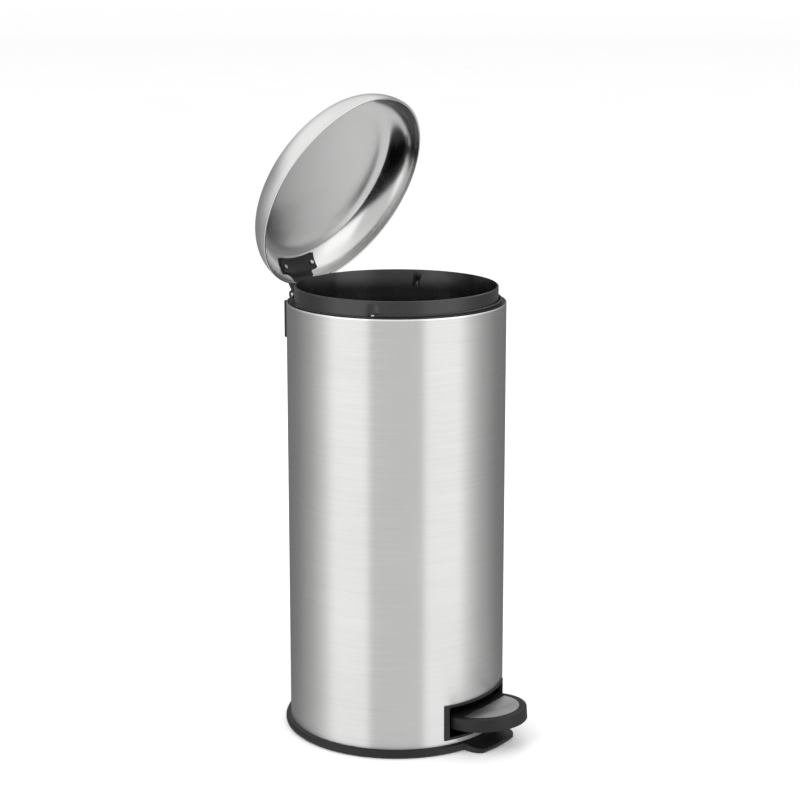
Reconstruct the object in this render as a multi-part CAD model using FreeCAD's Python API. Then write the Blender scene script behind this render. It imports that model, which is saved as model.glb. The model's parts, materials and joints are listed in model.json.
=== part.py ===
"""Pedal trash can, 30-litre class: steel body, soft-closing lid, lift-out inner bucket.

Millimetres.  +Z is up, the floor is z = 0 and the origin lies on the axis of the body.
The pedal faces -Y and the lid hinges at +Y.  The rest position is the lid open and the
pedal pressed; the lid parts are drawn closed and then turned open about the hinge.
"""
import FreeCAD, Part
import math
import os

from FreeCAD import Vector

# ---- body ----
SHELL_R = 146.5
SHELL_T = 0.8
SHELL_BOTTOM = 11.0
SHELL_TOP = 586.0
HEM_T = 1.6
HEM_H = 2.4
SHELL_IN = SHELL_R - SHELL_T

# ---- levels of the mechanism in the base, all hung on the lever's height ----
LEVER_Z = 40.5
AXLE_Z = LEVER_Z - 6.0
LEVER_FLANGE_LOW = LEVER_Z - 12.0
ROD_LOW = LEVER_Z + 8.0
PEDAL_TOP = LEVER_Z + 9.5
COVER_Z = LEVER_Z + 20.0
BUCKET_BOTTOM = COVER_Z + 8.0

# ---- hinge, lever arm and lid travel ----
HINGE_Y = 155.0
HINGE_Z = SHELL_TOP - 3.0
OPEN_ANGLE = 63.0
ARM_LENGTH = 16.8
ARM_END_R = 4.0
ARM_CHEEK_T = 4.0
ARM_CHEEK_GAP = 2.6
ROD_PIN_R = 1.5
HINGE_PIN_R = 2.0
PIN_FIT = 0.08
KNUCKLE_R = 5.0
BLOCK_HALF = 23.0

# ---- lid ----
LID_R = 145.5
LID_T = 0.8
LID_BASE = SHELL_TOP + 1.0
LID_SIDE_H = 44.0
LID_SIDE_W = 40.0
LID_DOME = 7.0
LID_HEM_R = 1.4
LID_NOTCH_TOP = LID_BASE + 22.0
SADDLE_T = 3.0
RIVET_X = 28.5
RIVET_HEAD_R = 3.2
SADDLE_TOP = LID_BASE + 34.0

# ---- top ring and bucket ----
RING_R = 144.7
RING_SKIRT_T = 2.0
RING_SHELF_IN = 137.8
RING_SHELF_T = 2.5
RING_TOP = SHELL_TOP - 1.0
RING_BOTTOM = RING_TOP - 28.0
BUCKET_R = 136.0
BUCKET_LOW_R = 122.0
BUCKET_NECK_R = 134.8
BUCKET_NECK_Z = RING_TOP - 13.0
BUCKET_T = 2.2
BUCKET_TOP = RING_TOP + 22.5
BUCKET_FLAT_Y = 133.0
FLANGE_R = 141.5
FLANGE_T = 2.5

# ---- bail ----
BAIL_R = 139.3
BAIL_WIRE_R = 1.5
BAIL_Z = RING_TOP + 4.2
BAIL_YAW = 25.0
BAIL_END_R = 130.5
POCKET_W = 13.0
POCKET_H = 15.5
POCKET_DEPTH = 1.0

# ---- base ----
BASE_R = 153.2
BASE_UNDER = 1.2
SPIGOT_TOP = 24.0
SPIGOT_IN = 142.8
FLOOR_T = 2.5
PAD_IN = 143.5
PAD_OUT = 150.0
FOOT_R = 177.0
FOOT_HALF_ANGLE = 16.5
FOOT_HALF = 42.0
FOOT_CORNER = 20.0
FOOT_UNDER = 0.5
FOOT_ROOT_R = 150.5
COVER_T = 2.0
COVER_R = 141.0
POST_R = 5.0
POST_X = 92.0
POST_Y = 72.0

# ---- pedal window ----
BEZEL_HALF_ANGLE = 26.7
BEZEL_LOW = 17.5
BEZEL_HIGH = 66.0
BEZEL_BAR = 3.5
BEZEL_PROUD = 2.1
WINDOW_HALF_ANGLE = 24.0
RETURN_T = 0.9
RETURN_IN = 143.2

# ---- pedal and lever ----
PEDAL_Y = -149.0
PEDAL_R = 56.5
PEDAL_TILT = 4.2
PEDAL_SKIRT = 17.0
PEDAL_WALL = 3.0
PEDAL_BACK = 21.0
PEDAL_ROUND = 2.0
PEDAL_DECK_T = 5.0
PEDAL_SCREW_DEPTH = 2.5
PEDAL_SCREW_X = 14.0
PEDAL_SCREW_OUT = 16.0
PLATE_R = 46.5
PLATE_T = 0.8
PLATE_PROUD = 0.2
PLATE_CLEAR_R = 150.2
LEVER_T = 2.5
LEVER_HALF = 22.0
LEVER_FLANGE_T = 2.0
LEVER_FRONT = -178.0
LEVER_TAPER_START = 20.0
LEVER_TAPER_END = 100.0
LEVER_TAIL = 143.5
LEVER_TAIL_HALF = 8.0
AXLE_Y = -50.0
AXLE_R = 4.0
AXLE_HALF = 35.0
AXLE_FIT = 0.1
BRACKET_X = 27.0
BRACKET_T = 3.0
BRACKET_HALF_L = 14.0
CLIP_R = 7.0
CLIP_T = 1.2

# ---- push rod and soft-close damper ----
ROD_Y = 140.5
ROD_R = 2.5
EYE_HALF_T = 2.0
EYE_WALL = 2.0
EYE_DROP = 10.0
NECK_H = 8.0
SLOT_CLEAR = 0.4
SHOE_GAP_HALF = 12.5
GUIDE_LEVELS = (170.0, 340.0)
DAMPER_X = 20.0
DAMPER_R = 4.5
DAMPER_LOW = SHELL_TOP - 179.0
DAMPER_HIGH = SHELL_TOP - 81.0
PISTON_R = 1.5
CROSSHEAD_Z = SHELL_TOP - 47.0
CROSSHEAD_H = 9.0

# ---- hinge housing ----
HOUSING_HALF = 45.0
HOUSING_BACK = 160.0
HOUSING_LOW = SHELL_TOP - 61.0
HOUSING_HIGH = SHELL_TOP - 10.0
HOUSING_WALL = 2.5
HOUSING_ROUND = 2.0
CHEEK_NEAR = 23.5
CHEEK_FAR = 33.0
CHEEK_R = 5.8
NOTCH_HALF = 11.0
NOTCH_LOW = SHELL_TOP - 23.0
ARM_GAP_LOW = SHELL_TOP - 17.0
SCREW_R = 2.0
SCREW_X = 30.0
SCREW_STANDOFF = 1.1
SCREW_LEVELS = (SHELL_TOP - 51.0, SHELL_TOP - 38.0)
BRACKET_PLATE_T = 1.5
BRACKET_PLATE_LOW = SHELL_TOP - 57.0
BRACKET_PLATE_HIGH = SHELL_TOP - 31.0

X_AXIS = Vector(1, 0, 0)
Z_AXIS = Vector(0, 0, 1)
FAR = 400.0

PIN_REACH = ARM_LENGTH * math.cos(math.radians(OPEN_ANGLE / 2))
PIN_DROP = ARM_LENGTH * math.sin(math.radians(OPEN_ANGLE / 2))


# ---------------------------------------------------------------- helpers
def box(x, y, z):
    """Box between the two numbers of each pair."""
    return Part.makeBox(x[1] - x[0], y[1] - y[0], z[1] - z[0], Vector(x[0], y[0], z[0]))


def rod(radius, start, end):
    """Cylinder from start to end."""
    return Part.makeCylinder(radius, (end - start).Length, start, end - start)


def upright(radius, x, y, low, high):
    return rod(radius, Vector(x, y, low), Vector(x, y, high))


def turned(points, angle=360.0, start=0.0):
    """Solid of revolution about Z from (radius, height) points, from start degrees on."""
    corners = [Vector(r, 0, z) for r, z in points]
    face = Part.Face(Part.makePolygon(corners + corners[:1]))
    solid = face.revolve(Vector(), Z_AXIS, angle)
    solid.rotate(Vector(), Z_AXIS, start)
    return solid


def front_sector(points, half_angle):
    """Part of a turned solid, centred on the pedal side (-Y)."""
    return turned(points, 2 * half_angle, -90.0 - half_angle)


def ring_points(inner, outer, low, high):
    return [(inner, low), (outer, low), (outer, high), (inner, high)]


def plate_yz(points, x):
    """Prism along X from (y, z) points, between the two x values."""
    corners = [Vector(x[0], py, pz) for py, pz in points]
    face = Part.Face(Part.makePolygon(corners + corners[:1]))
    return face.extrude(Vector(x[1] - x[0], 0, 0))


def fused(shapes):
    return shapes[0].multiFuse(shapes[1:]).removeSplitter()


def opened(shape):
    """Turns a part of the closed lid to its open rest position."""
    shape.rotate(Vector(0, HINGE_Y, HINGE_Z), Vector(-1, 0, 0), OPEN_ANGLE)
    return shape


# ---------------------------------------------------------------- body
def body_shell():
    """Rolled steel tube with a hemmed top edge, a pedal window and a hinge notch."""
    hem_in = SHELL_R - HEM_T
    hem_low = SHELL_TOP - HEM_H
    tube = turned([
        (SHELL_IN, SHELL_BOTTOM), (SHELL_R, SHELL_BOTTOM), (SHELL_R, SHELL_TOP - SHELL_T / 2),
        (SHELL_R - SHELL_T / 2, SHELL_TOP), (hem_in, SHELL_TOP), (hem_in, hem_low),
        (SHELL_IN, hem_low - SHELL_T),
    ])
    window = front_sector(
        ring_points(SHELL_IN - 1, SHELL_R + 1, window_low() - RETURN_T, window_high() + RETURN_T),
        WINDOW_HALF_ANGLE + return_angle())
    notch = box((-NOTCH_HALF, NOTCH_HALF), (HINGE_Y - 30, HINGE_Y), (NOTCH_LOW, SHELL_TOP + 1))
    holes = [rod(SCREW_R + PIN_FIT, *line) for line in screw_lines()]
    return tube.cut(window).cut(notch).cut(holes)


def window_low():
    return BEZEL_LOW + BEZEL_BAR


def window_high():
    return BEZEL_HIGH - BEZEL_BAR


def return_angle():
    return math.degrees(RETURN_T / SHELL_R)


def pedal_bezel():
    """Moulded frame round the pedal window, with a return through the steel."""
    face = front_sector(
        ring_points(SHELL_R, SHELL_R + BEZEL_PROUD, BEZEL_LOW, BEZEL_HIGH), BEZEL_HALF_ANGLE)
    back = front_sector(
        ring_points(RETURN_IN, SHELL_R, window_low() - RETURN_T, window_high() + RETURN_T),
        WINDOW_HALF_ANGLE + return_angle())
    opening = front_sector(
        ring_points(RETURN_IN - 1, SHELL_R + 2 * BEZEL_PROUD, window_low(), window_high()),
        WINDOW_HALF_ANGLE)
    return fused([face, back]).cut(opening)


def top_ring():
    """Ring inside the steel rim that the bucket hangs in."""
    ring = turned([
        (RING_R - RING_SKIRT_T, RING_BOTTOM), (RING_R, RING_BOTTOM), (RING_R, RING_TOP),
        (RING_SHELF_IN, RING_TOP), (RING_SHELF_IN, RING_TOP - RING_SHELF_T),
        (RING_R - RING_SKIRT_T, RING_TOP - RING_SHELF_T),
    ])
    gap = box((-NOTCH_HALF, NOTCH_HALF), (0, FAR), (RING_BOTTOM - 1, RING_TOP + 1))
    return ring.cut(gap)


# ---------------------------------------------------------------- bucket
def inner_bucket():
    """Tapered bucket with a hanging flange, a flat back and two bail pockets."""
    low = BUCKET_BOTTOM
    outer = turned([
        (0, low), (BUCKET_LOW_R - 6, low), (BUCKET_LOW_R, low + 6), (BUCKET_NECK_R, BUCKET_NECK_Z),
        (BUCKET_R, RING_TOP - 2 * FLANGE_T), (BUCKET_R, RING_TOP), (FLANGE_R, RING_TOP),
        (FLANGE_R, RING_TOP + FLANGE_T), (BUCKET_R, RING_TOP + FLANGE_T), (BUCKET_R, BUCKET_TOP - 1),
        (BUCKET_R - BUCKET_T / 2, BUCKET_TOP), (0, BUCKET_TOP),
    ])
    inner = turned([
        (0, low + BUCKET_T), (BUCKET_LOW_R - 6 - BUCKET_T, low + BUCKET_T),
        (BUCKET_LOW_R - BUCKET_T, low + 6 + BUCKET_T), (BUCKET_NECK_R - BUCKET_T, BUCKET_NECK_Z),
        (BUCKET_R - BUCKET_T, RING_TOP - 2 * FLANGE_T), (BUCKET_R - BUCKET_T, BUCKET_TOP + 1),
        (0, BUCKET_TOP + 1),
    ])
    outer = outer.cut(box((-FAR, FAR), (BUCKET_FLAT_Y, FAR), (0, 2 * FAR)))
    inner = inner.cut(box((-FAR, FAR), (BUCKET_FLAT_Y - BUCKET_T, FAR), (0, 2 * FAR)))
    shell = outer.cut(inner)
    for turn in (0.0, 180.0):
        pocket = box((BUCKET_R - POCKET_DEPTH, BUCKET_R + 1), (-POCKET_W / 2, POCKET_W / 2),
                     (RING_TOP + FLANGE_T, RING_TOP + FLANGE_T + POCKET_H))
        hole = rod(BAIL_WIRE_R + PIN_FIT, Vector(BUCKET_R - 6, 0, BAIL_Z), Vector(BUCKET_R + 6, 0, BAIL_Z))
        for tool in (pocket, hole):
            tool.rotate(Vector(), Z_AXIS, BAIL_YAW + turn)
            shell = shell.cut(tool)
    return shell


def bucket_bail():
    """Wire bail lying round the front of the collar, its ends hooked through the wall."""
    parts = [Part.makeTorus(BAIL_R, BAIL_WIRE_R, Vector(), Z_AXIS, 0, 360, 180)]
    parts[0].rotate(Vector(), Z_AXIS, 180)
    for side in (-1, 1):
        bend = Vector(side * BAIL_R, 0, 0)
        parts.append(Part.makeSphere(BAIL_WIRE_R, bend))
        parts.append(rod(BAIL_WIRE_R, bend, Vector(side * BAIL_END_R, 0, 0)))
    bail = fused(parts)
    bail.rotate(Vector(), Z_AXIS, BAIL_YAW)
    bail.translate(Vector(0, 0, BAIL_Z))
    return bail


# ---------------------------------------------------------------- base
def base_ring():
    """Moulded base ring with the stabiliser foot under the pedal."""
    ring = turned([
        (SPIGOT_IN, BASE_UNDER), (BASE_R - 2, BASE_UNDER), (BASE_R - 0.6, BASE_UNDER + 0.8),
        (BASE_R, BASE_UNDER + 2.4), (BASE_R, BASE_UNDER + 5.0), (BASE_R - 0.7, BASE_UNDER + 5.6),
        (BASE_R - 0.7, BASE_UNDER + 6.4), (BASE_R - 1.6, BASE_UNDER + 8.6),
        (BASE_R - 4.2, SHELL_BOTTOM), (SHELL_IN, SHELL_BOTTOM), (SHELL_IN, SPIGOT_TOP),
        (SPIGOT_IN, SPIGOT_TOP),
    ])
    foot = front_sector([
        (FOOT_ROOT_R, FOOT_UNDER), (FOOT_R - 1.5, FOOT_UNDER), (FOOT_R, FOOT_UNDER + 1.5),
        (FOOT_R, FOOT_UNDER + 4.0), (FOOT_R - 1.5, FOOT_UNDER + 5.5), (BASE_R + 3, FOOT_UNDER + 9.0),
        (FOOT_ROOT_R, FOOT_UNDER + 9.3),
    ], FOOT_HALF_ANGLE)
    foot_plan = box((-FOOT_HALF, FOOT_HALF), (-FOOT_R, -SPIGOT_IN), (0, FAR))
    front_corners = [e for e in foot_plan.Edges if e.BoundBox.YMax < 0.1 - FOOT_R and e.BoundBox.XLength < 1]
    foot = foot.common(foot_plan.makeFillet(FOOT_CORNER, front_corners))
    window = front_sector(
        ring_points(SPIGOT_IN - 1, SHELL_IN + 0.01, window_low() - RETURN_T, SPIGOT_TOP + 1),
        WINDOW_HALF_ANGLE + return_angle())
    shoe_gap = box((-SHOE_GAP_HALF, SHOE_GAP_HALF), (0, FAR), (SHELL_BOTTOM, SPIGOT_TOP + 1))
    shoe_gap = shoe_gap.common(upright(SHELL_IN + 0.01, 0, 0, 0, FAR))
    return fused([ring, foot]).cut([window, shoe_gap])


def non_slip_ring():
    """Rubber ring that the can stands on."""
    return turned(ring_points(PAD_IN, PAD_OUT, 0, BASE_UNDER))


def post_places():
    return [(x, y) for x in (-POST_X, POST_X) for y in (-POST_Y, POST_Y)]


def base_floor():
    """Bottom disc with the four posts of the mechanism cover."""
    disc = turned(ring_points(0, SPIGOT_IN, BASE_UNDER, BASE_UNDER + FLOOR_T))
    top = BASE_UNDER + FLOOR_T
    posts = [upright(POST_R, x, y, top - 1, COVER_Z) for x, y in post_places()]
    floor = fused([disc] + posts)
    bores = [upright(SCREW_R, x, y, COVER_Z - 12, COVER_Z + 1) for x, y in post_places()]
    return floor.cut(bores)


def mechanism_cover():
    """Disc above the lever, cut out at the back for the push rod."""
    disc = turned(ring_points(0, COVER_R, COVER_Z, COVER_Z + COVER_T))
    notch = box((-SHOE_GAP_HALF, SHOE_GAP_HALF), (ROD_Y - 14, FAR), (COVER_Z - 1, COVER_Z + COVER_T + 1))
    holes = [upright(SCREW_R, x, y, COVER_Z - 1, COVER_Z + COVER_T + 1) for x, y in post_places()]
    return disc.cut([notch] + holes)


def cover_screws():
    """Four screws holding the mechanism cover on its posts."""
    top = COVER_Z + COVER_T
    screws = []
    for x, y in post_places():
        shank = upright(SCREW_R, x, y, COVER_Z - 11, top)
        head = Part.makeCone(2 * SCREW_R, 1.4 * SCREW_R, SCREW_R, Vector(x, y, top))
        screws.append(fused([shank, head]))
    return Part.makeCompound(screws)


def axle_bracket(side):
    """Upright steel bracket that carries one end of the lever axle."""
    floor = BASE_UNDER + FLOOR_T
    x = sorted((side * BRACKET_X, side * (BRACKET_X + BRACKET_T)))
    web = box(x, (AXLE_Y - BRACKET_HALF_L, AXLE_Y + BRACKET_HALF_L), (floor, AXLE_Z))
    crown = rod(BRACKET_HALF_L, Vector(x[0], AXLE_Y, AXLE_Z), Vector(x[1], AXLE_Y, AXLE_Z))
    crown = crown.common(box((-FAR, FAR), (-FAR, FAR), (AXLE_Z - 1, AXLE_Z + 9)))
    flange_x = sorted((side * BRACKET_X, side * (BRACKET_X + 18)))
    flange = box(flange_x, (AXLE_Y - BRACKET_HALF_L, AXLE_Y + BRACKET_HALF_L), (floor, floor + 2))
    bore = rod(AXLE_R, Vector(-FAR, AXLE_Y, AXLE_Z), Vector(FAR, AXLE_Y, AXLE_Z))
    rivets = [upright(SCREW_R, *place, floor - 1, floor + 3) for place in rivet_places(side)]
    return fused([web, crown, flange]).cut([bore] + rivets)


def rivet_places(side):
    x = side * (BRACKET_X + 11)
    return [(x, AXLE_Y - 8), (x, AXLE_Y + 8)]


def bracket_rivets():
    """Rivets that fasten the axle brackets to the floor disc."""
    floor = BASE_UNDER + FLOOR_T
    rivets = []
    for side in (-1, 1):
        for x, y in rivet_places(side):
            shank = upright(SCREW_R, x, y, floor, floor + 2)
            head = upright(2 * SCREW_R, x, y, floor + 2, floor + 3.5)
            rivets.append(fused([shank, head]))
    return Part.makeCompound(rivets)


def lever_axle():
    """Steel axle of the pedal lever."""
    return rod(AXLE_R, Vector(-AXLE_HALF, AXLE_Y, AXLE_Z), Vector(AXLE_HALF, AXLE_Y, AXLE_Z))


def axle_clips():
    """Retaining washers on both ends of the axle."""
    clips = []
    for side in (-1, 1):
        inner = Vector(side * (BRACKET_X + BRACKET_T + 0.3), AXLE_Y, AXLE_Z)
        outer = inner + Vector(side * CLIP_T, 0, 0)
        clips.append(rod(CLIP_R, inner, outer).cut(rod(AXLE_R, inner, outer)))
    return Part.makeCompound(clips)


# ---------------------------------------------------------------- pedal
def half_moon(radius, low, high, back):
    """Half disc towards the front with straight sides running back towards the window."""
    disc = upright(radius, 0, PEDAL_Y, low, high)
    disc = disc.common(box((-FAR, FAR), (-FAR, PEDAL_Y), (low, high)))
    if back:
        disc = fused([disc, box((-radius, radius), (PEDAL_Y, PEDAL_Y + back), (low, high))])
    return disc


def tilted(shape):
    """Tilts a level pedal part so that its front edge rises."""
    shape.rotate(Vector(0, PEDAL_Y, PEDAL_TOP), X_AXIS, -PEDAL_TILT)
    return shape


def pedal_moulding():
    """Half-moon pedal body, hollow underneath, with a seat for the steel plate."""
    low = PEDAL_TOP - PEDAL_SKIRT
    solid = half_moon(PEDAL_R, low, PEDAL_TOP, PEDAL_BACK)
    top_edges = [e for e in solid.Edges if e.BoundBox.ZMin > PEDAL_TOP - 0.1
                 and e.BoundBox.YMin < PEDAL_Y - 0.1]
    solid = solid.makeFillet(PEDAL_ROUND, top_edges)
    hollow = half_moon(PEDAL_R - PEDAL_WALL, low - 1, PEDAL_TOP - PEDAL_DECK_T, PEDAL_BACK + 1)
    seat = half_moon(PLATE_R, PEDAL_TOP - PLATE_T, PEDAL_TOP + 1, 0)
    seat = seat.cut(upright(PLATE_CLEAR_R, 0, 0, 0, FAR))
    holes = [upright(SCREW_R, x, y, 0, PEDAL_TOP - PEDAL_SCREW_DEPTH) for x, y in pedal_screw_places()]
    return tilted(solid.cut([hollow, seat] + holes))


def pedal_plate():
    """Brushed steel tread let into the pedal."""
    plate = half_moon(PLATE_R, PEDAL_TOP - PLATE_T, PEDAL_TOP + PLATE_PROUD, 0)
    return tilted(plate.cut(upright(PLATE_CLEAR_R, 0, 0, 0, FAR)))


def pedal_screw_places():
    return [(side * PEDAL_SCREW_X, PEDAL_Y - PEDAL_SCREW_OUT) for side in (-1, 1)]


def pedal_screws():
    """Two screws from below that hold the lever to the pedal."""
    screws = []
    seat = PEDAL_TOP - PEDAL_DECK_T - LEVER_T
    for x, y in pedal_screw_places():
        shank = upright(SCREW_R, x, y, seat, PEDAL_TOP - PEDAL_SCREW_DEPTH)
        head = upright(2 * SCREW_R, x, y, seat - SCREW_R, seat)
        screws.append(tilted(fused([shank, head])))
    return Part.makeCompound(screws)


def pedal_lever():
    """Channel-section steel lever from the pedal to the foot of the push rod."""
    top = LEVER_Z + LEVER_T / 2
    low = LEVER_Z - LEVER_T / 2
    outline = [
        (-LEVER_HALF, AXLE_Y - 70), (LEVER_HALF, AXLE_Y - 70), (LEVER_HALF, LEVER_TAPER_START),
        (LEVER_TAIL_HALF, LEVER_TAPER_END), (LEVER_TAIL_HALF, LEVER_TAIL),
        (-LEVER_TAIL_HALF, LEVER_TAIL), (-LEVER_TAIL_HALF, LEVER_TAPER_END),
        (-LEVER_HALF, LEVER_TAPER_START),
    ]
    corners = [Vector(x, y, low) for x, y in outline]
    web = Part.Face(Part.makePolygon(corners + corners[:1])).extrude(Vector(0, 0, LEVER_T))
    tread = box((-LEVER_HALF, LEVER_HALF), (LEVER_FRONT, AXLE_Y - 65),
                (PEDAL_TOP - PEDAL_DECK_T - LEVER_T, PEDAL_TOP - PEDAL_DECK_T))
    tread = tilted(tread)
    parts = [web, tread]
    for side in (-1, 1):
        x = sorted((side * LEVER_HALF, side * (LEVER_HALF - LEVER_FLANGE_T)))
        parts.append(plate_yz([
            (AXLE_Y - 84, LEVER_Z - 4), (AXLE_Y - 20, LEVER_FLANGE_LOW), (AXLE_Y + 20, LEVER_FLANGE_LOW),
            (LEVER_TAPER_START, LEVER_Z - 4), (LEVER_TAPER_START, top), (AXLE_Y - 70, top),
            (AXLE_Y - 84, top)], x))
    bore = rod(AXLE_R + AXLE_FIT, Vector(-FAR, AXLE_Y, AXLE_Z), Vector(FAR, AXLE_Y, AXLE_Z))
    holes = [tilted(upright(SCREW_R, x, y, 0, FAR)) for x, y in pedal_screw_places()]
    return fused(parts).cut([bore] + holes)


# ---------------------------------------------------------------- push rod and damper
def eye_centre_z():
    return HINGE_Z + PIN_DROP


def rod_top():
    return eye_centre_z() - EYE_DROP


def push_rod():
    """Steel rod up the back of the can between the lever and the lid."""
    return upright(ROD_R, 0, ROD_Y, ROD_LOW, rod_top())


def rod_eye():
    """Slotted plastic eye on top of the rod that the lid pin slides in."""
    z = eye_centre_z()
    slot_near = HINGE_Y - ARM_LENGTH
    slot_far = HINGE_Y - PIN_REACH
    radius = ROD_PIN_R + SLOT_CLEAR
    wall = radius + EYE_WALL
    body = box((-EYE_HALF_T, EYE_HALF_T), (slot_near - wall, slot_far + wall), (rod_top(), z + wall))
    neck = upright(ROD_R + 1.4, 0, ROD_Y, rod_top() - NECK_H, rod_top() + 1)
    slot = box((-FAR, FAR), (slot_near, slot_far), (z - radius, z + radius))
    ends = [rod(radius, Vector(-FAR, y, z), Vector(FAR, y, z)) for y in (slot_near, slot_far)]
    bore = upright(ROD_R, 0, ROD_Y, rod_top() - NECK_H - 1, rod_top())
    return fused([body, neck]).cut([slot, bore] + ends)


def rod_shoe():
    """Plastic shoe at the rod's foot, slotted for the tail of the lever."""
    half = LEVER_TAIL_HALF + 2.5
    block = box((-half, half), (ROD_Y - 6.0, ROD_Y + 2.8), (LEVER_Z - 4.5, ROD_LOW + 6))
    slot = box((-LEVER_TAIL_HALF - 0.5, LEVER_TAIL_HALF + 0.5), (0, FAR), (LEVER_Z - 2.5, LEVER_Z + 2.5))
    bore = upright(ROD_R, 0, ROD_Y, ROD_LOW, FAR)
    return block.cut([slot, bore])


def rod_guides():
    """Guide blocks on the inside of the steel that keep the rod straight."""
    guides = []
    inside = upright(SHELL_IN, 0, 0, 0, 2 * FAR)
    for z in GUIDE_LEVELS:
        block = box((-9, 9), (ROD_Y - 5.5, FAR), (z, z + 14)).common(inside)
        guides.append(block.cut(upright(ROD_R + 0.3, 0, ROD_Y, z - 1, z + 15)))
    return Part.makeCompound(guides)


def damper_y():
    return math.sqrt((SHELL_IN - 0.6 - DAMPER_R) ** 2 - DAMPER_X ** 2)


def damper_barrel():
    """Oil damper barrel beside the rod, open at the top for its piston rod."""
    barrel = upright(DAMPER_R, DAMPER_X, damper_y(), DAMPER_LOW, DAMPER_HIGH)
    bore = upright(PISTON_R + AXLE_FIT, DAMPER_X, damper_y(), DAMPER_LOW + 40, DAMPER_HIGH + 1)
    chamber = upright(DAMPER_R - 1.2, DAMPER_X, damper_y(), DAMPER_LOW + 20, DAMPER_HIGH - 6)
    return barrel.cut([bore, chamber])


def damper_clamp():
    """Clamp that fixes the damper barrel to the inside of the steel."""
    inside = upright(SHELL_IN, 0, 0, 0, 2 * FAR)
    clamps = []
    for z in (DAMPER_LOW + 10, DAMPER_HIGH - 24):
        block = box((DAMPER_X - 8, DAMPER_X + 8), (damper_y() - 6, FAR), (z, z + 10)).common(inside)
        clamps.append(block.cut(upright(DAMPER_R, DAMPER_X, damper_y(), z - 1, z + 11)))
    return Part.makeCompound(clamps)


def damper_piston():
    """Piston rod of the damper with its piston."""
    stem = upright(PISTON_R, DAMPER_X, damper_y(), DAMPER_HIGH - 40, CROSSHEAD_Z + 4)
    piston = upright(DAMPER_R - 1.6, DAMPER_X, damper_y(), DAMPER_HIGH - 46, DAMPER_HIGH - 40)
    return fused([stem, piston])


def damper_crosshead():
    """Clip on the push rod that carries the piston rod along."""
    z = (CROSSHEAD_Z, CROSSHEAD_Z + CROSSHEAD_H)
    block = box((-5, DAMPER_X + 4), (ROD_Y - 4.5, ROD_Y + 2.8), z)
    keep = upright(RING_R - RING_SKIRT_T - 0.6, 0, 0, z[0], z[1])
    rod_bore = upright(ROD_R, 0, ROD_Y, z[0] - 1, z[1] + 1)
    stem_bore = upright(PISTON_R, DAMPER_X, damper_y(), z[0] - 1, CROSSHEAD_Z + 4)
    return block.common(keep).cut([rod_bore, stem_bore])


# ---------------------------------------------------------------- lid
def lid_form(inset):
    """Solid inside of the lid's outer surface, moved inwards by inset."""
    flat_r = LID_R - LID_SIDE_W
    rim = Vector(LID_R - inset, 0, LID_BASE)
    shoulder = Vector(flat_r, 0, LID_BASE + LID_SIDE_H - inset)
    ellipse = Part.Ellipse(shoulder, rim, Vector(flat_r, 0, LID_BASE))
    low, high = sorted((ellipse.parameter(rim), ellipse.parameter(shoulder)))
    arcs = [Part.ArcOfEllipse(ellipse, start, end).toShape()
            for start, end in ((low, high), (high, low + 2 * math.pi))]
    side = min(arcs, key=lambda arc: arc.Length)
    crown = Vector(0, 0, shoulder.z + LID_DOME)
    middle = Vector(flat_r / 2, 0, shoulder.z + LID_DOME * 3 / 4)
    centre = Vector(0, 0, LID_BASE)
    edges = [side, Part.Arc(shoulder, middle, crown).toShape(),
             Part.makeLine(crown, centre), Part.makeLine(centre, rim)]
    wire = Part.Wire(Part.__sortEdges__(edges))
    return Part.Face(wire).revolve(Vector(), Z_AXIS, 360)


def lid():
    """Pressed steel lid with a rolled rim, notched at the back for its hinge block."""
    bowl = lid_form(0).cut(lid_form(LID_T))
    hem = Part.makeTorus(LID_R - LID_HEM_R, LID_HEM_R, Vector(0, 0, LID_BASE + LID_HEM_R))
    notch = box((-BLOCK_HALF, BLOCK_HALF), (HINGE_Y - 40, HINGE_Y), (LID_BASE - 1, LID_NOTCH_TOP))
    return opened(fused([bowl, hem]).cut([notch] + rivet_forms()))


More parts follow.
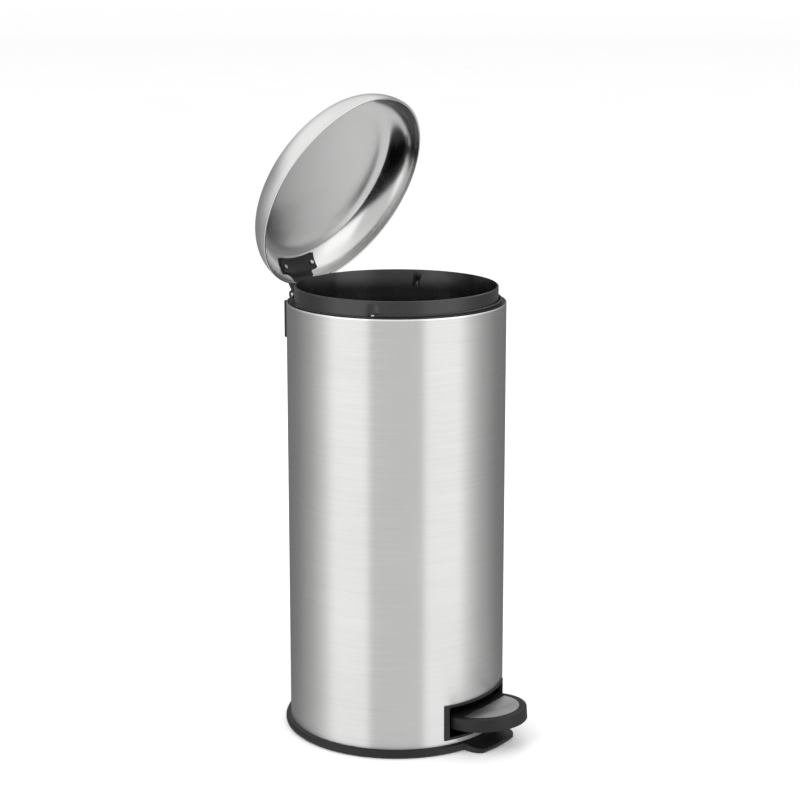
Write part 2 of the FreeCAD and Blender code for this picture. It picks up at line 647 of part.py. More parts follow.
def lid_hinge_block():
    """Moulded block in the lid's notch, with the lever arm that the push rod lifts."""
    block_top = LID_NOTCH_TOP - 0.2
    web = plate_yz([
        (HINGE_Y - KNUCKLE_R, HINGE_Z), (HINGE_Y + KNUCKLE_R, HINGE_Z), (HINGE_Y + 2, HINGE_Z + 10),
        (HINGE_Y - 3, HINGE_Z + 18), (HINGE_Y - 12, block_top), (HINGE_Y - 18, block_top),
        (HINGE_Y - 18, block_top - 4), (HINGE_Y - 12.2, block_top - 7), (HINGE_Y - 11.5, LID_BASE + 1),
    ], (-BLOCK_HALF + 0.3, BLOCK_HALF - 0.3))
    knuckle = rod(KNUCKLE_R, Vector(-BLOCK_HALF + 0.3, HINGE_Y, HINGE_Z),
                  Vector(BLOCK_HALF - 0.3, HINGE_Y, HINGE_Z))
    reach = box((-34, 34), (HINGE_Y - 45, HINGE_Y - 5), (LID_NOTCH_TOP - 3, LID_NOTCH_TOP + 13))
    flange = lid_form(LID_T).cut(lid_form(LID_T + 2.4)).common(reach)
    saddle = box((-BLOCK_HALF, BLOCK_HALF), (HINGE_Y - 45, HINGE_Y + 5), (block_top - 9, SADDLE_TOP))
    saddle = lid_form(-SADDLE_T).cut(lid_form(0)).common(saddle)
    parts = [web, knuckle, flange, saddle]
    pin_y = HINGE_Y - PIN_REACH
    pin_z = HINGE_Z - PIN_DROP
    slope = math.radians(OPEN_ANGLE / 2)
    across = Vector(0, -math.sin(slope), math.cos(slope)) * ARM_END_R
    for side in (-1, 1):
        x = sorted((side * ARM_CHEEK_GAP, side * (ARM_CHEEK_GAP + ARM_CHEEK_T)))
        hub = Vector(0, HINGE_Y, HINGE_Z)
        tip = Vector(0, pin_y, pin_z)
        corners = [hub + across, hub - across, tip - across, tip + across]
        parts.append(plate_yz([(c.y, c.z) for c in corners], x))
        parts.append(rod(ARM_END_R, Vector(x[0], pin_y, pin_z), Vector(x[1], pin_y, pin_z)))
    block = fused(parts)
    bore = rod(HINGE_PIN_R + PIN_FIT, Vector(-FAR, HINGE_Y, HINGE_Z), Vector(FAR, HINGE_Y, HINGE_Z))
    pin_bore = rod(ROD_PIN_R, Vector(-FAR, pin_y, pin_z), Vector(FAR, pin_y, pin_z))
    return opened(block.cut([bore, pin_bore] + rivet_forms()))


def rivet_forms():
    """The two lid rivets, as they lie on the shut lid: head outside, tail inside."""
    forms = []
    for side in (-1, 1):
        start = Vector(side * RIVET_X, HINGE_Y - 19, LID_NOTCH_TOP + 7)
        inward = Vector(-side * 1.2, -7.0, -3.5).normalize()
        head = rod(RIVET_HEAD_R, start + inward * 2.4, start + inward * 3.6)
        shank = rod(SCREW_R, start + inward * 3.0, start + inward * 7.4)
        tail = rod(1.4 * SCREW_R, start + inward * 7.0, start + inward * 7.8)
        forms.append(fused([head, shank, tail]))
    return forms


def lid_rivets():
    """Two rivets that hold the lid on its hinge block."""
    return Part.makeCompound([opened(form) for form in rivet_forms()])


def rod_pin():
    """Pin across the fork of the lid's lever arm."""
    half = ARM_CHEEK_GAP + ARM_CHEEK_T
    y = HINGE_Y - PIN_REACH
    z = HINGE_Z - PIN_DROP
    return opened(rod(ROD_PIN_R, Vector(-half, y, z), Vector(half, y, z)))


# ---------------------------------------------------------------- hinge on the body
def hinge_pin():
    """Steel pin that the lid turns on."""
    return rod(HINGE_PIN_R, Vector(-CHEEK_FAR, HINGE_Y, HINGE_Z), Vector(CHEEK_FAR, HINGE_Y, HINGE_Z))


def screw_lines():
    """Start (inside the can) and end of each hinge screw."""
    lines = []
    for x in (-SCREW_X, SCREW_X):
        y = math.sqrt(SHELL_IN ** 2 - SCREW_X ** 2) - BRACKET_PLATE_T
        lines += [(Vector(x, y, z), Vector(x, y + 12, z)) for z in SCREW_LEVELS]
    return lines


def hinge_housing():
    """Moulded housing on the back of the can, hollow towards the steel."""
    block = box((-HOUSING_HALF, HOUSING_HALF), (0, HOUSING_BACK), (HOUSING_LOW, HOUSING_HIGH))
    back_edges = [e for e in block.Edges if e.BoundBox.YMin > HOUSING_BACK - 0.1]
    block = block.makeFillet(HOUSING_ROUND, back_edges)
    cavity = box((HOUSING_WALL - HOUSING_HALF, HOUSING_HALF - HOUSING_WALL),
                 (0, HOUSING_BACK - HOUSING_WALL),
                 (HOUSING_LOW + HOUSING_WALL, HOUSING_HIGH - HOUSING_WALL))
    parts = [block.cut(cavity)]
    for line in screw_lines():
        parts.append(rod(2.2 * SCREW_R, line[0], Vector(line[0].x, HOUSING_BACK - 1, line[0].z)))
    for side in (-1, 1):
        x = sorted((side * CHEEK_NEAR, side * CHEEK_FAR))
        parts.append(rod(CHEEK_R, Vector(x[0], HINGE_Y, HINGE_Z), Vector(x[1], HINGE_Y, HINGE_Z)))
        parts.append(plate_yz([
            (HINGE_Y - CHEEK_R, HINGE_Z), (HINGE_Y - CHEEK_R, HOUSING_HIGH - 1),
            (HOUSING_BACK - 0.5, HOUSING_HIGH - 1), (HINGE_Y + CHEEK_R - 0.5, HINGE_Z)], x))
    housing = fused(parts)
    pin = rod(HINGE_PIN_R, Vector(-FAR, HINGE_Y, HINGE_Z), Vector(FAR, HINGE_Y, HINGE_Z))
    bores = [rod(SCREW_R, *line) for line in screw_lines()]
    arm_gap = box((-NOTCH_HALF, NOTCH_HALF), (0, HINGE_Y - 3), (ARM_GAP_LOW, HINGE_Z))
    return housing.cut([upright(SHELL_R, 0, 0, 0, 2 * FAR), pin, arm_gap] + bores)


def hinge_bracket():
    """Curved steel backing plate inside the can, behind the hinge housing."""
    plate = turned(ring_points(SHELL_IN - BRACKET_PLATE_T, SHELL_IN, BRACKET_PLATE_LOW,
                               BRACKET_PLATE_HIGH))
    plate = plate.common(box((-40, 40), (0, FAR), (0, 2 * FAR)))
    depth = Vector(0, 2 * SCREW_STANDOFF, 0)
    return plate.cut([rod(SCREW_R + PIN_FIT, start - depth, end) for start, end in screw_lines()])


def hinge_screws():
    """Four screws through the backing plate and the steel into the housing."""
    screws = []
    for start, end in screw_lines():
        seat = start - Vector(0, SCREW_STANDOFF, 0)
        head = rod(2 * SCREW_R, seat - Vector(0, SCREW_R, 0), seat)
        screws.append(fused([rod(SCREW_R, seat, end), head]))
    return Part.makeCompound(screws)


NODES = {
    "body_shell": body_shell,
    "pedal_bezel": pedal_bezel,
    "top_ring": top_ring,
    "inner_bucket": inner_bucket,
    "bucket_bail": bucket_bail,
    "base_ring": base_ring,
    "non_slip_ring": non_slip_ring,
    "base_floor": base_floor,
    "mechanism_cover": mechanism_cover,
    "cover_screws": cover_screws,
    "axle_bracket_left": lambda: axle_bracket(-1),
    "axle_bracket_right": lambda: axle_bracket(1),
    "bracket_rivets": bracket_rivets,
    "lever_axle": lever_axle,
    "axle_clips": axle_clips,
    "pedal_moulding": pedal_moulding,
    "pedal_plate": pedal_plate,
    "pedal_screws": pedal_screws,
    "pedal_lever": pedal_lever,
    "push_rod": push_rod,
    "rod_eye": rod_eye,
    "rod_shoe": rod_shoe,
    "rod_guides": rod_guides,
    "damper_barrel": damper_barrel,
    "damper_clamp": damper_clamp,
    "damper_piston": damper_piston,
    "damper_crosshead": damper_crosshead,
    "lid": lid,
    "lid_hinge_block": lid_hinge_block,
    "lid_rivets": lid_rivets,
    "rod_pin": rod_pin,
    "hinge_housing": hinge_housing,
    "hinge_pin": hinge_pin,
    "hinge_bracket": hinge_bracket,
    "hinge_screws": hinge_screws,
}

os.makedirs("parts", exist_ok=True)
for name, build in NODES.items():
    shape = build()
    if not shape.isValid():
        print(name, "is not a valid shape")
    shape.exportStep(f"parts/{name}.step")
    print(name, len(shape.Solids), round(shape.Volume))
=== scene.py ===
"""Looks of the pedal trash can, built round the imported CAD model.

Metres, +Z up, the pedal faces -Y and the lid hinges at +Y.  Every size and place comes
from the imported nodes; the lid is modelled shut on the can's axis and then turned open.
"""
import json
import math

import bmesh
import bpy
from mathutils import Matrix, Vector

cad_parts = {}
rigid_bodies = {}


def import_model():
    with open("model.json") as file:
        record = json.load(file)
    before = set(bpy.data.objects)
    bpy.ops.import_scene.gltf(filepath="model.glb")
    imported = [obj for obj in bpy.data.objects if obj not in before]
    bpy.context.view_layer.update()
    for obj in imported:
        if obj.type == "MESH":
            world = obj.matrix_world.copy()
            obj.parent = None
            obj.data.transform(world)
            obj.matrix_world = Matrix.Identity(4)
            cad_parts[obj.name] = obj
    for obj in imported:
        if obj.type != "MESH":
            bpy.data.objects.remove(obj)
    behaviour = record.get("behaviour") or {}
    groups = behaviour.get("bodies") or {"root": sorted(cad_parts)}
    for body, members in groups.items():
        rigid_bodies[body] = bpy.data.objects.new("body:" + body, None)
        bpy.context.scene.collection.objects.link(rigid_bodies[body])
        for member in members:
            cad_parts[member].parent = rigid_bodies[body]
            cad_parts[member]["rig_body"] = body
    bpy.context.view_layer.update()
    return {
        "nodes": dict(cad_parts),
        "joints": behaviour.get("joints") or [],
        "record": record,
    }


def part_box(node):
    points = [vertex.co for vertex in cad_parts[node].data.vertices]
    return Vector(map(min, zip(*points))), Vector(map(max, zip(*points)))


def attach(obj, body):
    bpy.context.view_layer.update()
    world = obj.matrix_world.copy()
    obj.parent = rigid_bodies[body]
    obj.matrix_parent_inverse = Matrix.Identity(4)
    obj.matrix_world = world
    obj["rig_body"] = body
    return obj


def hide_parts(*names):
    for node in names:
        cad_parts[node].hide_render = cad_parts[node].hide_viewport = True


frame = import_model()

NODES = frame["nodes"]
JOINTS = {joint["name"]: joint for joint in frame["joints"]}

MM = 0.001
TAU = 2 * math.pi


# ---------------------------------------------------------------- camera
# angles in degrees, distance and height in metres, lens and sensor in millimetres
CAMERA_AZIMUTH = -52.3
CAMERA_DISTANCE = 2.5
CAMERA_HEIGHT = 1.0099
CAMERA_PITCH = 11.418
CAMERA_YAW = 0.108
CAMERA_LENS = 85.609
CAMERA_SHIFT = -0.05
SENSOR = 36.0
CAMERA_SIDE = math.radians(CAMERA_AZIMUTH)


def make_camera():
    data = bpy.data.cameras.new("camera")
    data.lens = CAMERA_LENS
    data.sensor_width = SENSOR
    data.shift_y = CAMERA_SHIFT
    data.clip_end = 100.0
    camera = bpy.data.objects.new("camera", data)
    camera.location = (CAMERA_DISTANCE * math.sin(CAMERA_SIDE), -CAMERA_DISTANCE * math.cos(CAMERA_SIDE),
                       CAMERA_HEIGHT)
    camera.rotation_euler = (math.radians(90 - CAMERA_PITCH), 0, CAMERA_SIDE - math.radians(CAMERA_YAW))
    bpy.context.scene.collection.objects.link(camera)
    bpy.context.scene.camera = camera


# ---------------------------------------------------------------- node helpers
class Nodes:
    """Short way to write a node tree."""

    def __init__(self, tree):
        self.tree = tree

    def add(self, kind, **settings):
        node = self.tree.nodes.new(kind)
        for key, value in settings.items():
            setattr(node, key, value)
        return node

    def link(self, out, into):
        self.tree.links.new(out, into)

    def maths(self, operation, a, b=None):
        """A maths node; each operand is a socket or a number."""
        node = self.add("ShaderNodeMath", operation=operation)
        for socket, value in zip(node.inputs, (a, b)):
            if isinstance(value, (int, float)):
                socket.default_value = value
            elif value is not None:
                self.link(value, socket)
        return node.outputs[0]


def noise(n, vector, scale, detail=2.0, rough=0.5):
    tex = n.add("ShaderNodeTexNoise")
    tex.inputs["Scale"].default_value = scale
    tex.inputs["Detail"].default_value = detail
    tex.inputs["Roughness"].default_value = rough
    n.link(vector, tex.inputs["Vector"])
    return tex.outputs["Fac"]


def stretched(n, vector, scale):
    scaled = n.add("ShaderNodeMapping")
    scaled.inputs["Scale"].default_value = scale
    n.link(vector, scaled.inputs["Vector"])
    return scaled.outputs["Vector"]


def spun(n, vector, across, along):
    """Coordinates that change fast with the radius and slowly along the circles."""
    parts = n.add("ShaderNodeSeparateXYZ")
    n.link(vector, parts.inputs["Vector"])
    flat = n.add("ShaderNodeCombineXYZ")
    n.link(parts.outputs["X"], flat.inputs["X"])
    n.link(parts.outputs["Y"], flat.inputs["Y"])
    length = n.add("ShaderNodeVectorMath", operation="LENGTH")
    n.link(flat.outputs["Vector"], length.inputs[0])
    depth = n.maths("SUBTRACT", length.outputs["Value"], parts.outputs["Z"])
    joined = n.add("ShaderNodeCombineXYZ")
    n.link(n.maths("MULTIPLY", depth, across), joined.inputs["X"])
    n.link(n.maths("MULTIPLY", parts.outputs["X"], along), joined.inputs["Y"])
    n.link(n.maths("MULTIPLY", parts.outputs["Y"], along), joined.inputs["Z"])
    return joined.outputs["Vector"]


def ramp(n, fac, stops):
    """Colour ramp; a stop's colour is one number for grey, or three."""
    node = n.add("ShaderNodeValToRGB")
    elements = node.color_ramp.elements
    while len(elements) < len(stops):
        elements.new(0.5)
    for element, (at, colour) in zip(elements, stops):
        element.position = at
        element.color = (*colour, 1) if len(colour) == 3 else (colour[0],) * 3 + (1,)
    n.link(fac, node.inputs["Fac"])
    return node.outputs["Color"]


def new_material(name):
    material = bpy.data.materials.new(name)
    material.use_nodes = True
    n = Nodes(material.node_tree)
    shader = material.node_tree.nodes["Principled BSDF"]
    position = n.add("ShaderNodeTexCoord").outputs["Object"]
    return material, n, shader, position


def bump(n, shader, height, strength, distance):
    node = n.add("ShaderNodeBump")
    node.inputs["Strength"].default_value = strength
    node.inputs["Distance"].default_value = distance
    n.link(height, node.inputs["Height"])
    n.link(node.outputs["Normal"], shader.inputs["Normal"])


NOISE_LOW = 0.3
NOISE_HIGH = 0.7


def grey_range(colour, low, high):
    """Ramp stops for a colour that a noise makes darker or paler."""
    return [(NOISE_LOW, tuple(c * low for c in colour)),
            (NOISE_HIGH, tuple(min(1.0, c * high) for c in colour))]


def tone_range(tones):
    """Ramp stops for a single value that a noise moves between two tones."""
    low, high = tones
    return [(NOISE_LOW, (low,)), (NOISE_HIGH, (high,))]


# ---------------------------------------------------------------- materials
BARE_STEEL = (0.62, 0.62, 0.63)
ZINC_DARK = (0.45, 0.46, 0.48)
ZINC_PALE = (0.62, 0.63, 0.65)
WIRE_ROUGHNESS = (0.26, 0.4)
RAGGED_EDGE = 1.5 * MM
ZINC_ROUGHNESS = (0.28, 0.5)
LONG_GRAIN = 9.0
TREAD_GRAIN = 14.0
ROUND_FINE = 2400.0
SPUN_FINE = 1900.0


def brushed_steel(name, colour, grain, roughness, anisotropy):
    """Steel brushed round the part's Z axis; grain(n, position, fineness) gives the scratch coordinates."""
    material, n, shader, position = new_material(name)
    shader.inputs["Metallic"].default_value = 1.0
    shader.inputs["Anisotropic"].default_value = anisotropy
    shader.inputs["Anisotropic Rotation"].default_value = 0.25
    tangent = n.add("ShaderNodeTangent", direction_type="RADIAL", axis="Z")
    n.link(tangent.outputs["Tangent"], shader.inputs["Tangent"])
    fine = noise(n, grain(n, position, 1.0), 1.0, detail=3.0, rough=0.65)
    broad = noise(n, grain(n, position, 0.35), 1.0)
    cloud = noise(n, position, 7.0, detail=3.0)
    mixed = n.maths("ADD", n.maths("MULTIPLY", fine, 0.75), n.maths("MULTIPLY", cloud, 0.25))
    n.link(ramp(n, mixed, grey_range(colour, 0.9, 1.08)), shader.inputs["Base Color"])
    n.link(ramp(n, broad, tone_range(roughness)), shader.inputs["Roughness"])
    bump(n, shader, fine, strength=0.08, distance=0.04 * MM)
    return material


def grain_round(n, position, fineness):
    """Level scratches round an upright tube."""
    return stretched(n, position, (LONG_GRAIN, LONG_GRAIN, ROUND_FINE * fineness))


def grain_spun(n, position, fineness):
    """Concentric scratches on a spun lid."""
    return spun(n, position, SPUN_FINE * fineness, LONG_GRAIN)


def grain_straight(n, position, fineness):
    """Scratches along X on a flat tread."""
    return stretched(n, position, (TREAD_GRAIN, SPUN_FINE * fineness, TREAD_GRAIN))


def polished_steel(name, colour, roughness):
    """Bright pressed steel with faint smears and the marks of spinning."""
    material, n, shader, position = new_material(name)
    shader.inputs["Metallic"].default_value = 1.0
    smear = noise(n, position, 14.0, detail=4.0, rough=0.6)
    n.link(ramp(n, smear, grey_range(colour, 0.95, 1.0)), shader.inputs["Base Color"])
    low, high = roughness
    n.link(ramp(n, smear, [(0.35, (low,)), (0.7, (high,))]), shader.inputs["Roughness"])
    marks = noise(n, spun(n, position, 1500.0, 12.0), 1.0, detail=3.0, rough=0.6)
    ripple = noise(n, position, 9.0, detail=1.0)
    dents = n.maths("ADD", ripple, n.maths("MULTIPLY", marks, 0.03))
    bump(n, shader, dents, strength=0.22, distance=0.5 * MM)
    return material


def moulded_plastic(name, colour, roughness, grain=2500.0, gloss=0.32):
    """Moulded plastic with a fine spark-eroded texture, faint dust and worn shine."""
    material, n, shader, position = new_material(name)
    shader.inputs["Specular IOR Level"].default_value = gloss
    texture = noise(n, position, grain)
    wear = noise(n, position, 30.0, detail=4.0, rough=0.6)
    n.link(ramp(n, wear, grey_range(colour, 0.85, 1.25)), shader.inputs["Base Color"])
    n.link(ramp(n, wear, tone_range(roughness)), shader.inputs["Roughness"])
    bump(n, shader, texture, strength=0.25, distance=0.06 * MM)
    return material


def coated_wire(name, colour, ends, bare_length):
    """Black-coated wire, worn to bare steel where it turns in the bucket's holes."""
    material, n, shader, position = new_material(name)
    distances = []
    for end in ends:
        away = n.add("ShaderNodeVectorMath", operation="DISTANCE")
        n.link(position, away.inputs[0])
        away.inputs[1].default_value = end
        distances.append(away.outputs["Value"])
    near = n.maths("MINIMUM", *distances)
    ragged = n.maths("ADD", near, n.maths("MULTIPLY", noise(n, position, 900.0), RAGGED_EDGE))
    bare = n.maths("LESS_THAN", ragged, bare_length)
    n.link(ramp(n, bare, [(0.0, colour), (1.0, BARE_STEEL)]), shader.inputs["Base Color"])
    n.link(bare, shader.inputs["Metallic"])
    wear = noise(n, position, 60.0, detail=3.0)
    n.link(ramp(n, wear, tone_range(WIRE_ROUGHNESS)), shader.inputs["Roughness"])
    return material


def zinc_plate(name):
    material, n, shader, position = new_material(name)
    shader.inputs["Metallic"].default_value = 1.0
    spangle = n.add("ShaderNodeTexVoronoi")
    spangle.inputs["Scale"].default_value = 260.0
    n.link(position, spangle.inputs["Vector"])
    tones = ramp(n, spangle.outputs["Color"], [(0.2, ZINC_DARK), (0.8, ZINC_PALE)])
    n.link(tones, shader.inputs["Base Color"])
    wear = noise(n, position, 45.0, detail=4.0)
    n.link(ramp(n, wear, tone_range(ZINC_ROUGHNESS)), shader.inputs["Roughness"])
    bump(n, shader, wear, strength=0.1, distance=0.2 * MM)
    return material


def painted_rim_highlight(material):
    """Paints a highlight into the steel's colour along the top of the tube, where the turned-over upper
    edge would catch the light.
    """
    n = Nodes(material.node_tree)
    colour = material.node_tree.nodes["Principled BSDF"].inputs["Base Color"]
    parts = n.add("ShaderNodeSeparateXYZ")
    n.link(n.add("ShaderNodeTexCoord").outputs["Object"], parts.inputs["Vector"])
    mix = n.add("ShaderNodeMix", data_type="RGBA")
    # the painted highlight band starts this far below the tube's top
    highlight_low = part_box("body_shell")[1].z - RIM_HIGHLIGHT_DEPTH
    n.link(n.maths("GREATER_THAN", parts.outputs["Z"], highlight_low), mix.inputs["Factor"])
    n.link(colour.links[0].from_socket, mix.inputs["A"])
    mix.inputs["B"].default_value = RIM_HIGHLIGHT_COLOUR
    n.link(mix.outputs["Result"], colour)


def bail_ends():
    """The two places where the bail turns, from its joint and the size of its wire."""
    joint = JOINTS["bail_pivot"]
    low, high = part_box("bucket_bail")
    axis = Vector(joint["axis"]).normalized()
    reach = (high.x - low.x) / 2
    return [Vector(joint["pos_m"]) + axis * reach * side for side in (-1, 1)]


BARE_WIRE = 7.5 * MM
# depth and colour of the painted highlight along the steel tube's top edge
RIM_HIGHLIGHT_DEPTH = 1.8 * MM
RIM_HIGHLIGHT_COLOUR = (0.95, 0.95, 0.945, 1.0)
BODY_STEEL = brushed_steel("body_steel", (0.64, 0.64, 0.635), grain_round, (0.28, 0.33), 1.0)
LID_STEEL = brushed_steel("lid_steel", (0.66, 0.66, 0.655), grain_spun, (0.28, 0.34), 0.85)
LID_INSIDE = polished_steel("lid_inside", (0.68, 0.68, 0.675), (0.16, 0.24))
TREAD_STEEL = brushed_steel("tread_steel", (0.62, 0.62, 0.615), grain_straight, (0.36, 0.42), 0.3)
BLACK = moulded_plastic("black_plastic", (0.0075, 0.0075, 0.008), (0.36, 0.48))
BUCKET = moulded_plastic("bucket_plastic", (0.005, 0.005, 0.0055), (0.2, 0.3), grain=1800.0, gloss=0.7)
RUBBER = moulded_plastic("rubber", (0.008, 0.008, 0.008), (0.7, 0.85), grain=900.0)
WIRE = coated_wire("bail_coating", (0.014, 0.014, 0.014), bail_ends(), BARE_WIRE)
ZINC = zinc_plate("zinc_plate")
# paint a highlight band along the top edge of the body steel
painted_rim_highlight(BODY_STEEL)

SLOT_MATERIALS = {
    "shell_steel": BODY_STEEL, "lid_steel": LID_STEEL, "plate_steel": TREAD_STEEL,
    "zinc_steel": ZINC, "black_plastic": BLACK, "bucket_plastic": BUCKET,
    "bail_wire": WIRE, "rubber": RUBBER,
}


def dress_cad_nodes():
    for part in frame["record"]["subparts"]:
        node = NODES[part["node"]]
        material = SLOT_MATERIALS[part["material_slot"]]
        if not node.material_slots:
            node.data.materials.append(material)
        for slot in node.material_slots:
            slot.material = material


# ---------------------------------------------------------------- mesh helpers
def linked(name, mesh):
    made = bpy.data.objects.new(name, mesh)
    bpy.context.scene.collection.objects.link(made)
    return made


def revolved(name, profile, segments):
    """Closed mesh turned about Z from a closed list of (radius, height); a radius of 0 is a pole."""
    bm = bmesh.new()
    rings = []
    for radius, height in profile:
        if radius == 0:
            rings.append([bm.verts.new((0, 0, height))])
        else:
            rings.append([
                bm.verts.new((radius * math.cos(TAU * i / segments), radius * math.sin(TAU * i / segments),
                              height))
                for i in range(segments)])
    for first, second in zip(rings, rings[1:] + rings[:1]):
        for i in range(segments):
            j = (i + 1) % segments
            corners = [first[i % len(first)], first[j % len(first)], second[j % len(second)],
                       second[i % len(second)]]
            corners = list(dict.fromkeys(corners))
            if len(corners) > 2:
                bm.faces.new(corners)
    bmesh.ops.recalc_face_normals(bm, faces=bm.faces[:])
    mesh = bpy.data.meshes.new(name)
    bm.to_mesh(mesh)
    bm.free()
    mesh.polygons.foreach_set("use_smooth", [True] * len(mesh.polygons))
    return linked(name, mesh)


def cutter(low, high):
    bm = bmesh.new()
    bmesh.ops.create_cube(bm, size=1.0)
    for vert in bm.verts:
        vert.co = Vector(low[k] if vert.co[k] < 0 else high[k] for k in range(3))
    mesh = bpy.data.meshes.new("cutter")
    bm.to_mesh(mesh)
    bm.free()
    return linked("cutter", mesh)


def applied(piece):
    """Bakes the piece's modifiers into its mesh."""
    graph = bpy.context.evaluated_depsgraph_get()
    piece.data = bpy.data.meshes.new_from_object(piece.evaluated_get(graph))
    piece.modifiers.clear()


def cut_away(piece, tool):
    modifier = piece.modifiers.new("cut", "BOOLEAN")
    modifier.operation = "DIFFERENCE"
    modifier.solver = "EXACT"
    modifier.object = tool
    applied(piece)
    bpy.data.objects.remove(tool)


def hinge_turn():
    """Turn from the shut lid to the open rest position."""
    joint = JOINTS["lid_hinge"]
    place = Vector(joint["pos_m"])
    opened = math.radians(-min(joint["range_deg"]))
    turn = Matrix.Rotation(opened, 4, Vector(joint["axis"]))
    return Matrix.Translation(place) @ turn @ Matrix.Translation(-place)


def shut_points(node):
    """The node's corners with the lid turned shut."""
    back = hinge_turn().inverted()
    return [back @ vert.co for vert in NODES[node].data.vertices]


# ---------------------------------------------------------------- lid
# pressed sheet with a curved side, a low crown and a rolled rim, cut out for the hinge block
SHEET_T = 0.8 * MM
HEM_R = 1.4 * MM
SIDE_W = 40.0 * MM
CROWN_RISE = 7.0 * MM
NOTCH_HALF = 23.0 * MM
LID_SEGMENTS = 288
PROFILE_STEPS = 48
BLEND_PASSES = 30
BLEND_REACH = 14
ROLL_STEPS = 24
ROLL_END = 17
LID_CREASE = math.radians(50)


def skin_line(rim_r, base, side_h, inset, stop_height):
    """Points of one side of the sheet from the axis to the rim, with the crown blended in."""
    points = []
    flat_r = rim_r - SIDE_W
    for step in range(PROFILE_STEPS):
        radius = flat_r * step / PROFILE_STEPS
        points.append([radius, base + side_h - inset + CROWN_RISE * (1 - (radius / flat_r) ** 2)])
    for step in range(PROFILE_STEPS + 1):
        angle = TAU / 4 * step / PROFILE_STEPS
        radius = flat_r + (SIDE_W - inset) * math.sin(angle)
        height = base + (side_h - inset) * math.cos(angle)
        if height < stop_height:
            break
        points.append([radius, height])
    for _ in range(BLEND_PASSES):
        heights = [p[1] for p in points]
        for k in range(PROFILE_STEPS - BLEND_REACH, PROFILE_STEPS + BLEND_REACH):
            before, here, after = points[k - 1][0], points[k][0], points[k + 1][0]
            share = (here - before) / (after - before)
            middle = heights[k - 1] + (heights[k + 1] - heights[k - 1]) * share
            points[k][1] = (heights[k] + middle) / 2
    return [tuple(p) for p in points]


def make_lid():
    corners = shut_points("lid")
    rim_r = max(math.hypot(c.x, c.y) for c in corners)
    base = min(c.z for c in corners)
    top = max(c.z for c in corners)
    side_h = top - base - CROWN_RISE
    outer = skin_line(rim_r, base, side_h, 0.0, base + HEM_R)
    inner = skin_line(rim_r, base, side_h, SHEET_T, base + 2 * HEM_R + SHEET_T / 2)
    roll = [(rim_r - HEM_R * (1 - math.cos(a)), base + HEM_R * (1 + math.sin(a)))
            for a in (-TAU * k / ROLL_STEPS for k in range(ROLL_END))]
    block_back = max(c.y for c in shut_points("lid_hinge_block"))
    notch_top = min(c.z for c in corners if abs(c.x) < NOTCH_HALF / 2 and c.y > rim_r - SIDE_W / 2)
    lid = revolved("lid_skin", outer + roll + inner[::-1], LID_SEGMENTS)
    cut_away(lid, cutter((-NOTCH_HALF, rim_r - SIDE_W, base - HEM_R), (NOTCH_HALF, block_back, notch_top)))
    mesh = lid.data
    mesh.materials.append(LID_STEEL)
    mesh.materials.append(LID_INSIDE)
    centre = Vector((0, 0, base - side_h))
    for face in mesh.polygons:
        face.use_smooth = True
        reach = math.hypot(face.center.x, face.center.y)
        inward = face.normal.dot(face.center - centre) < 0
        face.material_index = int(inward or reach > rim_r - HEM_R and face.center.z < base + HEM_R)
    mesh.set_sharp_from_angle(angle=LID_CREASE)
    lid.matrix_world = hinge_turn()
    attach(lid, "lid_body")
    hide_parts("lid")


# ---------------------------------------------------------------- moulded parts with rounded edges
SOFTENED = {
    "pedal_bezel": 0.5, "base_ring": 0.5, "pedal_moulding": 0.7, "inner_bucket": 0.5,
    "top_ring": 0.4, "hinge_housing": 0.6, "lid_hinge_block": 0.5,
}


SAME_PLACE = 0.01 * MM
FLAT_ANGLE = math.radians(0.3)
BEVEL_ANGLE = math.radians(35)
CREASE_ANGLE = math.radians(32)
CAD_SHADING = ("custom_normal", "sharp_edge", "sharp_face")


def soften(node, width):
    """A moulded copy of the node with its sharp edges rounded."""
    source = NODES[node]
    piece = linked(node + "_moulded", source.data.copy())
    weld = piece.modifiers.new("weld", "WELD")
    weld.merge_threshold = SAME_PLACE
    flat = piece.modifiers.new("flat", "DECIMATE")
    flat.decimate_type = "DISSOLVE"
    flat.angle_limit = FLAT_ANGLE
    edge = piece.modifiers.new("edge", "BEVEL")
    edge.width = width * MM
    edge.segments = 2
    edge.limit_method = "ANGLE"
    edge.angle_limit = BEVEL_ANGLE
    edge.use_clamp_overlap = True
    applied(piece)
    mesh = piece.data
    for name in [a.name for a in mesh.attributes if a.name in CAD_SHADING]:
        mesh.attributes.remove(mesh.attributes[name])
    mesh.polygons.foreach_set("use_smooth", [True] * len(mesh.polygons))
    mesh.set_sharp_from_angle(angle=CREASE_ANGLE)
    part = next(p for p in frame["record"]["subparts"] if p["node"] == node)
    mesh.materials.clear()
    mesh.materials.append(SLOT_MATERIALS[part["material_slot"]])
    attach(piece, source["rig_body"])
    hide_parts(node)


# ---------------------------------------------------------------- studio
WORLD_STRENGTH = 1.05
FLOOR_TONES = (0.94, 0.955)
FLOOR_SIZE = 90.0
DOME_RADIUS = 30.0


def make_world():
    world = bpy.data.worlds.new("studio")
    bpy.context.scene.world = world
    world.use_nodes = True
    background = world.node_tree.nodes["Background"]
    background.inputs["Color"].default_value = (1.0, 1.0, 1.0, 1.0)
    background.inputs["Strength"].default_value = WORLD_STRENGTH


def make_floor():
    bm = bmesh.new()
    bmesh.ops.create_grid(bm, x_segments=8, y_segments=8, size=FLOOR_SIZE / 2)
    mesh = bpy.data.meshes.new("floor")
    bm.to_mesh(mesh)
    bm.free()
    floor = linked("floor", mesh)
    material, n, shader, position = new_material("floor")
    shader.inputs["Roughness"].default_value = 0.9
    shader.inputs["Specular IOR Level"].default_value = 0.1
    mottle = noise(n, position, 1.5)
    n.link(ramp(n, mottle, tone_range(FLOOR_TONES)), shader.inputs["Base Color"])
    mesh.materials.append(material)
    floor.visible_glossy = False


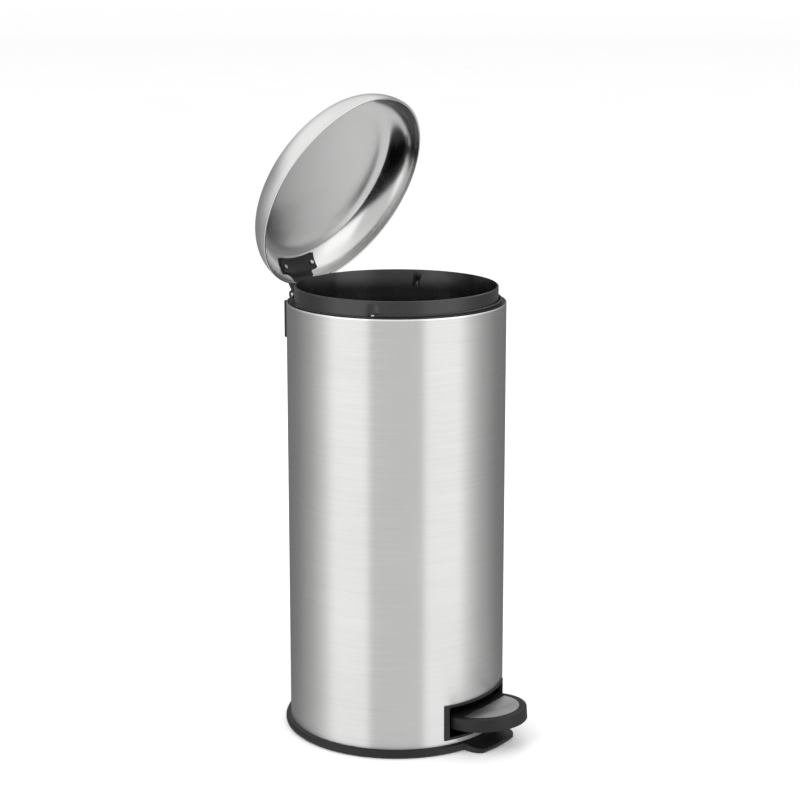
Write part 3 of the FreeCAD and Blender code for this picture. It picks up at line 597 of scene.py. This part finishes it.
# (degrees from the camera's side, brightness) of the band at the can's level, below it and above it
PANELS = [(0, 0.8), (25, 0.8), (33, 1.46), (68, 1.46), (84, 0.85), (100, 0.5), (125, 0.3), (180, 0.16)]
BELOW = [(0, 0.95), (60, 0.9), (120, 0.8), (180, 0.8)]
ABOVE = [(0, 0.9), (60, 1.3), (120, 1.35), (180, 1.1)]


BELOW_BLEND = (0.42, 0.6)
ABOVE_BLEND = (0.3, 0.6)


def panel_stops(levels):
    """Brightness round the dome; 0.5 is the camera's side, which is angle 0 in the levels."""
    stops = [(0.5 - angle / 360, (level,)) for angle, level in reversed(levels)]
    stops += [(0.5 + angle / 360, (level,)) for angle, level in levels[1:]]
    return stops


def share_stops(blend):
    return [(blend[0], (0.0,)), (blend[1], (1.0,))]


def mixed_light(n, share, first, second):
    mix = n.add("ShaderNodeMix", data_type="RGBA")
    n.link(share, mix.inputs["Factor"])
    n.link(first, mix.inputs["A"])
    n.link(second, mix.inputs["B"])
    return mix.outputs["Result"]


def make_reflection_dome():
    """Studio panels that only show in reflections: two bright sides and a darker back."""
    bm = bmesh.new()
    bmesh.ops.create_icosphere(bm, subdivisions=5, radius=DOME_RADIUS)
    mesh = bpy.data.meshes.new("reflection_dome")
    bm.to_mesh(mesh)
    bm.free()
    dome = linked("reflection_dome", mesh)
    material = bpy.data.materials.new("studio_panels")
    material.use_nodes = True
    tree = material.node_tree
    tree.nodes.clear()
    n = Nodes(tree)
    position = n.add("ShaderNodeTexCoord").outputs["Object"]
    turn = n.add("ShaderNodeMapping", vector_type="TEXTURE")
    turn.inputs["Rotation"].default_value = (0, 0, CAMERA_SIDE - TAU / 4)
    n.link(position, turn.inputs["Vector"])
    around = n.add("ShaderNodeTexGradient", gradient_type="RADIAL")
    n.link(turn.outputs["Vector"], around.inputs["Vector"])
    level = around.outputs["Fac"]
    parts = n.add("ShaderNodeSeparateXYZ")
    n.link(position, parts.inputs["Vector"])
    height = n.maths("DIVIDE", parts.outputs["Z"], DOME_RADIUS)
    sides = ramp(n, level, panel_stops(PANELS))
    low_share = ramp(n, n.maths("MULTIPLY", height, -1.0), share_stops(BELOW_BLEND))
    high_share = ramp(n, height, share_stops(ABOVE_BLEND))
    light = mixed_light(n, low_share, sides, ramp(n, level, panel_stops(BELOW)))
    light = mixed_light(n, high_share, light, ramp(n, level, panel_stops(ABOVE)))
    emit = n.add("ShaderNodeEmission")
    n.link(light, emit.inputs["Color"])
    emit.inputs["Strength"].default_value = 1.0
    output = n.add("ShaderNodeOutputMaterial")
    n.link(emit.outputs["Emission"], output.inputs["Surface"])
    mesh.materials.append(material)
    dome.visible_camera = False
    dome.visible_diffuse = False
    dome.visible_shadow = False
    dome.visible_transmission = False
    dome.visible_volume_scatter = False


# name, azimuth in degrees, height, power, size
LAMPS = [("key", -90.0, 2.4, 30.0, 1.6), ("fill", 0.0, 2.2, 20.0, 1.8), ("top", 130.0, 3.0, 24.0, 2.2)]
LAMP_REACH = 2.6
LAMP_AIM = Vector((0, 0, 0.4))


def make_lights():
    for name, azimuth, height, power, size in LAMPS:
        data = bpy.data.lights.new(name, "AREA")
        data.energy = power
        data.size = size
        lamp = bpy.data.objects.new(name, data)
        angle = math.radians(azimuth)
        place = Vector((LAMP_REACH * math.sin(angle), -LAMP_REACH * math.cos(angle), height))
        lamp.location = place
        lamp.rotation_mode = "QUATERNION"
        lamp.rotation_quaternion = (place - LAMP_AIM).to_track_quat("Z", "Y")
        lamp.visible_glossy = False
        bpy.context.scene.collection.objects.link(lamp)


make_camera()
make_world()
make_floor()
make_reflection_dome()
make_lights()
dress_cad_nodes()
make_lid()
for softened_node, rounding in SOFTENED.items():
    soften(softened_node, rounding)
bpy.context.scene.view_settings.view_transform = "Standard"
